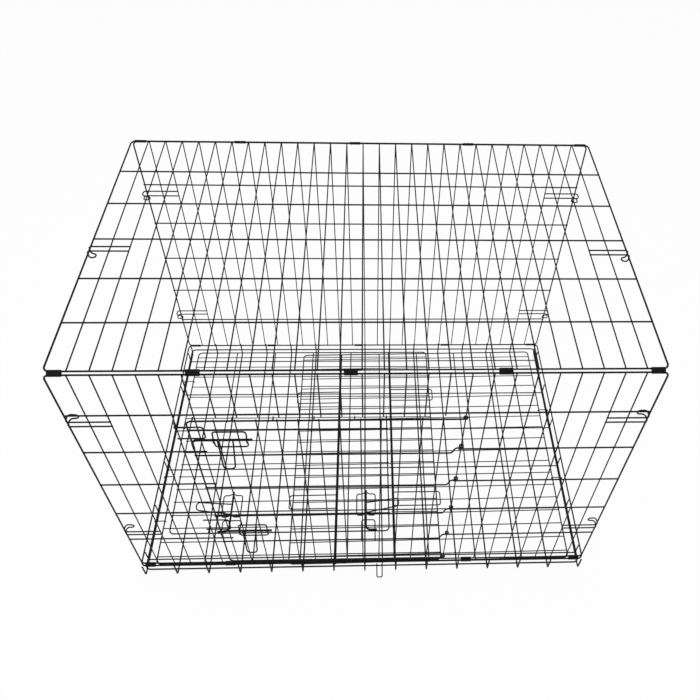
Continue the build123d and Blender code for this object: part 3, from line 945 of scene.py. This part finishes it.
def make_latch(name, panel, edge, inward, height, down, lean, reach):
    """A slide bolt and its handle."""
    path = bolt_path(edge, inward, height, down)
    rod = wires(panel, [path], ROD_R, ROD_BEND, sides=18, steps=10, full=TRUE_SIZE)
    piece("bolt_" + name, "bolt_" + name, "coated_rod", [rod])
    path = handle_path(edge, inward, height, down, lean, reach)
    grip = wires(panel, [path], HANDLE_R, HANDLE_BEND)
    piece("handle_" + name, "handle_" + name, "coated_wire", [grip])


def make_latches():
    """The four latches, of which the upper one on the end door is turned upwards."""
    front, end = (FRONT, FRONT_EDGE, 1), (LEFT_END, END_EDGE, -1)
    make_latch("front_high", *front, FRONT_BOLTS[0], -1, HANG_LEAN, FRONT_HANDLE)
    make_latch("front_low", *front, FRONT_BOLTS[1], -1, HANG_LEAN, FRONT_HANDLE)
    make_latch("end_high", *end, END_BOLTS[0], 1, FLIP_LEAN, END_HANDLE)
    make_latch("end_low", *end, END_BOLTS[1], -1, HANG_LEAN, END_HANDLE)


def make_carry_loop():
    """The loose loop on the lower front wire of the tray."""
    curl = (BASE_R + HOOK_R) * ROUND + CARRY_PLAY
    around = arc(curl, CARRY_CURL_START, CARRY_CURL_SWEEP, steps=16)

    def spot(place, flat):
        return (place, -RIM_Y + flat[0], LOWER_Z + flat[1])

    path = [spot(CARRY_NEAR, point) for point in around[::-1]]
    path += [spot(CARRY_NEAR, CARRY_LEG), spot(CARRY_FAR, CARRY_LEG)]
    path += [spot(CARRY_FAR, point) for point in around]
    piece("carry_loop", "carry_loop", "coated_wire", [wires(ROOM, [path], HOOK_R, CARRY_BEND)])


make_base()
make_clips()
make_front()
make_top()
make_back()
make_left_end()
make_right_end()
make_doors()
make_latches()
make_carry_loop()


# The studio, in metres

FLOOR_HALF = 30.0
FLOOR_WHITE = (0.96, 0.96, 0.96, 1)
FLOOR_GLOW = 0.95
ROOM_LIGHT = 0.5

# Each lamp, as (name, place, what it points at, size, power in watts)
LAMPS = (
    ("overhead", (0, -0.4, 3.4), (0, 0, 0.3), 3.0, 45),
    ("fill", (-2.6, -2.4, 1.8), (0, 0, 0.4), 2.0, 14),
)

# The camera: the side of the photo, the focal length and the column straight ahead, in pixels
PHOTO_SIDE = 700
FOCAL_PIXELS = 720.33
VIEW_CENTRE = 402
SENSOR = 36.0
CAMERA_PLACE = (0.01121, -1.13858, 1.69894)
CAMERA_TURNS = ((0.726848, "X"), (-0.0463016, "Y"), (-0.0036419, "Z"))


def is_seen(tree):
    """1 for rays that the camera sees directly, in gloss or through glass."""
    rays = tree.nodes.new("ShaderNodeLightPath")
    seen = Value(tree, rays.outputs["Is Camera Ray"])
    seen = seen.math("MAXIMUM", Value(tree, rays.outputs["Is Glossy Ray"]))
    return seen.math("MAXIMUM", Value(tree, rays.outputs["Is Transmission Ray"]))


def make_floor():
    """A plain white floor that keeps the shadow of the crate."""
    mesh = bpy.data.meshes.new("floor")
    corners = [(x * FLOOR_HALF, y * FLOOR_HALF, 0) for x, y in ((-1, -1), (1, -1), (1, 1), (-1, 1))]
    mesh.from_pydata(corners, [], [(0, 1, 2, 3)])
    floor = bpy.data.objects.new("floor", mesh)
    bpy.context.scene.collection.objects.link(floor)
    material = bpy.data.materials.new("white_floor")
    material.use_nodes = True
    tree = material.node_tree
    tree.nodes.clear()
    lit = node(tree, "ShaderNodeBsdfDiffuse", None, Color=FLOOR_WHITE)
    glow = node(tree, "ShaderNodeEmission", None, Strength=1.0)
    mixed = node(tree, "ShaderNodeMixShader", None, is_seen(tree) * FLOOR_GLOW, lit, glow)
    output = tree.nodes.new("ShaderNodeOutputMaterial")
    tree.links.new(mixed.socket, output.inputs["Surface"])
    mesh.materials.append(material)


def make_world():
    """White all round to the camera, and soft grey light for everything else."""
    world = bpy.data.worlds.new("studio")
    bpy.context.scene.world = world
    world.use_nodes = True
    tree = world.node_tree
    tree.nodes.clear()
    strength = ROOM_LIGHT + (1.0 - ROOM_LIGHT) * is_seen(tree)
    light = node(tree, "ShaderNodeBackground", None, Color=(1, 1, 1, 1), Strength=strength)
    output = tree.nodes.new("ShaderNodeOutputWorld")
    tree.links.new(light.socket, output.inputs["Surface"])


def add_lamp(name, place, target, size, power):
    """A soft square lamp."""
    data = bpy.data.lights.new(name, "AREA")
    data.size = size
    data.energy = power
    lamp = bpy.data.objects.new(name, data)
    lamp.location = place
    lamp.rotation_euler = (Vector(target) - Vector(place)).to_track_quat("-Z", "Y").to_euler()
    bpy.context.scene.collection.objects.link(lamp)


def add_camera():
    """The camera of the photograph, high over the front and tilted down."""
    data = bpy.data.cameras.new("view")
    data.sensor_width = SENSOR
    data.lens = FOCAL_PIXELS / PHOTO_SIDE * SENSOR
    data.shift_x = (PHOTO_SIDE / 2 - VIEW_CENTRE) / PHOTO_SIDE
    data.clip_end = 100
    camera = bpy.data.objects.new("view", data)
    stand = Matrix.Translation(CAMERA_PLACE)
    for turn, axis in CAMERA_TURNS:
        stand = stand @ Matrix.Rotation(turn, 4, axis)
    camera.matrix_world = stand
    bpy.context.scene.collection.objects.link(camera)
    bpy.context.scene.camera = camera


make_floor()
make_world()
for lamp in LAMPS:
    add_lamp(*lamp)
add_camera()
bpy.context.scene.view_settings.view_transform = "Standard"
